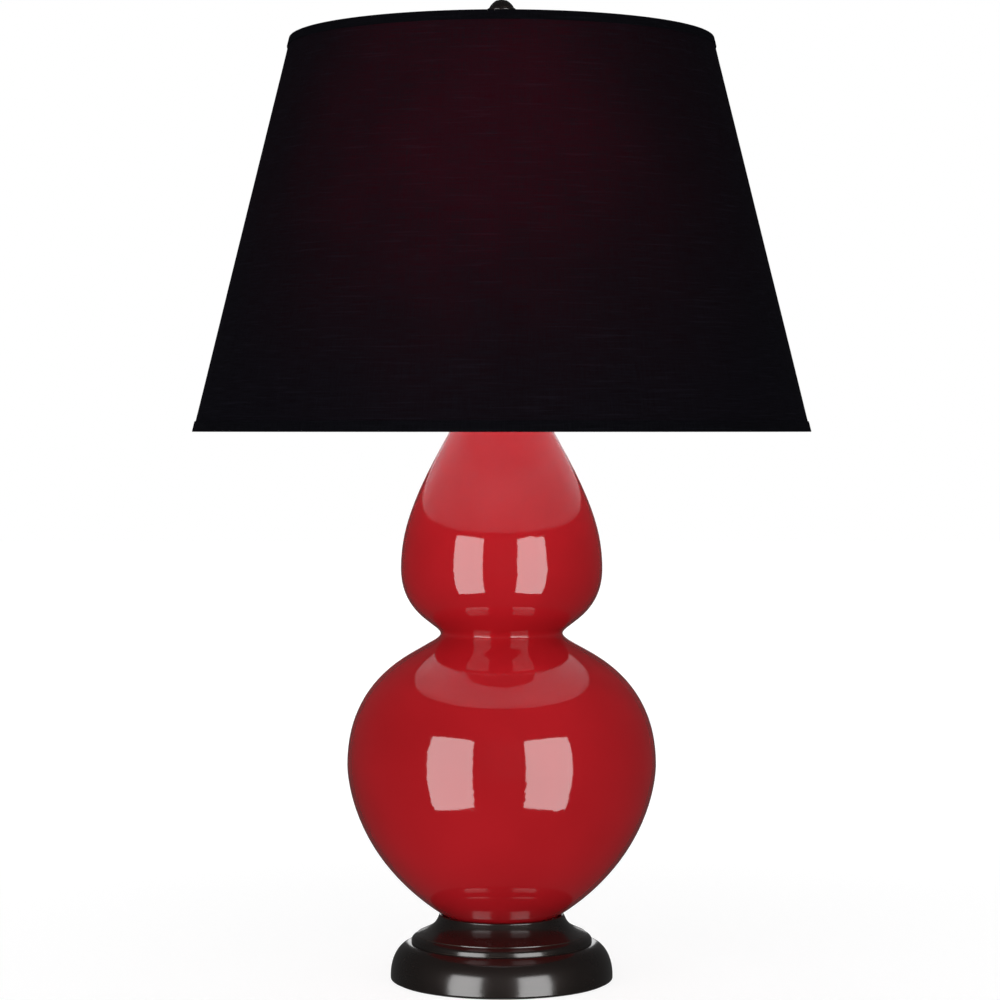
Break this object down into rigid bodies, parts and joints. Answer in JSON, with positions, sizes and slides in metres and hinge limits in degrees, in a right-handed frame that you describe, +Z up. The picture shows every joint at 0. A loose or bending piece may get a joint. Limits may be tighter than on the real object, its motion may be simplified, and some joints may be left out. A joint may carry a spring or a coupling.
{
  "type": "double gourd table lamp",
  "caption": "Table lamp with a double-gourd glazed body on a stepped metal base, tapered cloth shade on a removable harp, finial, socket switch and screw-in bulb.",
  "frame": {"origin": "centre of the base's underside, on the lamp's axis", "axes": "+Z up along the lamp's axis; the switch knob faces -Y, the cord inlet and the shade's seam face +Y, and the harp stands in the XZ plane"},
  "size_m": [0.4877, 0.4876, 0.7756],
  "materials": {
    "dark_bronze": "oil-rubbed bronze, satin, with worn brown high spots",
    "red_glaze": "deep red gloss glaze",
    "antique_brass": "satin antique brass",
    "contact_brass": "bright drawn brass",
    "plain_steel": "zinc-plated steel",
    "ring_wire": "white-coated wire",
    "cast_iron": "rough grey casting",
    "black_rubber": "soft rubber",
    "black_plastic": "moulded bushing",
    "moulded_black": "phenolic moulding",
    "base_felt": "pressed felt",
    "shade_linen": "near-black slubbed linen, slightly translucent",
    "shade_lining": "pale translucent styrene",
    "trim_tape": "dark blue-grey folded tape",
    "liner_card": "fish-paper sleeve",
    "frosted_glass": "soft white coated glass",
    "clear_glass": "clear glass",
    "bulb_aluminium": "rolled aluminium",
    "bulb_solder": "solder",
    "bulb_vitrite": "black glass insulator",
    "filament_wire": "tungsten"
  },
  "bodies": {
    "stand": {"felt_pad": "base_felt", "base_shell": "dark_bronze", "base_weight": "cast_iron", "cord_bushing": "black_plastic", "bottom_washer": "plain_steel", "bottom_lock_washer": "plain_steel", "bottom_nut": "plain_steel", "threaded_rod": "plain_steel", "seat_gasket": "black_rubber", "gourd_body": "red_glaze", "neck_gasket": "black_rubber", "vase_cap": "dark_bronze", "neck_spacer": "dark_bronze", "neck_lock_washer": "plain_steel", "harp_saddle": "antique_brass", "socket_cap": "antique_brass", "socket_set_screw": "plain_steel", "socket_shell": "antique_brass", "socket_liner": "liner_card", "socket_core": "moulded_black", "screw_shell": "contact_brass", "centre_contact": "contact_brass", "terminal_screws": "contact_brass"},
    "switch": {"switch_shaft": "plain_steel", "switch_knob": "moulded_black"},
    "bulb_foot": {"bulb_tip": "bulb_solder"},
    "bulb": {"bulb_insulator": "bulb_vitrite", "bulb_cap": "bulb_aluminium", "bulb_glass": "frosted_glass", "bulb_stem": "clear_glass", "bulb_leads": "plain_steel", "bulb_filament": "filament_wire"},
    "harp": {"harp_wire": "antique_brass", "harp_washer": "antique_brass"},
    "sleeve_left": {"harp_sleeve_left": "antique_brass"},
    "sleeve_right": {"harp_sleeve_right": "antique_brass"},
    "swivel": {"harp_swivel": "antique_brass"},
    "shade": {"spider_hub": "antique_brass", "spider_arms": "antique_brass", "top_ring": "ring_wire", "bottom_ring": "ring_wire", "shade_fabric": "shade_linen", "shade_liner": "shade_lining", "top_trim": "trim_tape", "bottom_trim": "trim_tape", "shade_seam": "shade_linen"},
    "finial_bush": {"finial_insert": "contact_brass"},
    "finial": {"finial_knob": "dark_bronze"}
  },
  "joints": [
    {"name": "switch_turn", "type": "hinge", "parent": "stand", "child": "switch", "pos_m": [0, -0.02, 0.511], "axis": [0, -1, 0], "continuous": true},
    {"name": "bulb_rise", "type": "slide", "parent": "stand", "child": "bulb_foot", "axis": [0, 0, 1], "range_m": [0, 0.01814]},
    {"name": "bulb_turn", "type": "hinge", "parent": "bulb_foot", "child": "bulb", "pos_m": [0, 0, 0.5203], "axis": [0, 0, 1], "range_deg": [0, 1800]},
    {"name": "harp_lift", "type": "slide", "parent": "stand", "child": "harp", "axis": [0, 0, 1], "range_m": [0, 0.045]},
    {"name": "sleeve_left_slide", "type": "slide", "parent": "harp", "child": "sleeve_left", "axis": [0, 0, 1], "range_m": [0, 0.0135]},
    {"name": "sleeve_right_slide", "type": "slide", "parent": "harp", "child": "sleeve_right", "axis": [0, 0, 1], "range_m": [0, 0.0135]},
    {"name": "shade_spin", "type": "hinge", "parent": "harp", "child": "swivel", "pos_m": [0, 0, 0.73], "axis": [0, 0, 1], "continuous": true},
    {"name": "shade_lift", "type": "slide", "parent": "swivel", "child": "shade", "axis": [0, 0, 1], "range_m": [0, 0.32]},
    {"name": "finial_rise", "type": "slide", "parent": "shade", "child": "finial_bush", "axis": [0, 0, 1], "range_m": [0, 0.0094]},
    {"name": "finial_turn", "type": "hinge", "parent": "finial_bush", "child": "finial", "pos_m": [0, 0, 0.74], "axis": [0, 0, 1], "range_deg": [0, 3600]}
  ],
  "couplings": [
    {"joint": "bulb_turn", "follows": "bulb_rise", "rad_per_m": 1731.4},
    {"joint": "finial_turn", "follows": "finial_rise", "rad_per_m": 6679.3}
  ]
}
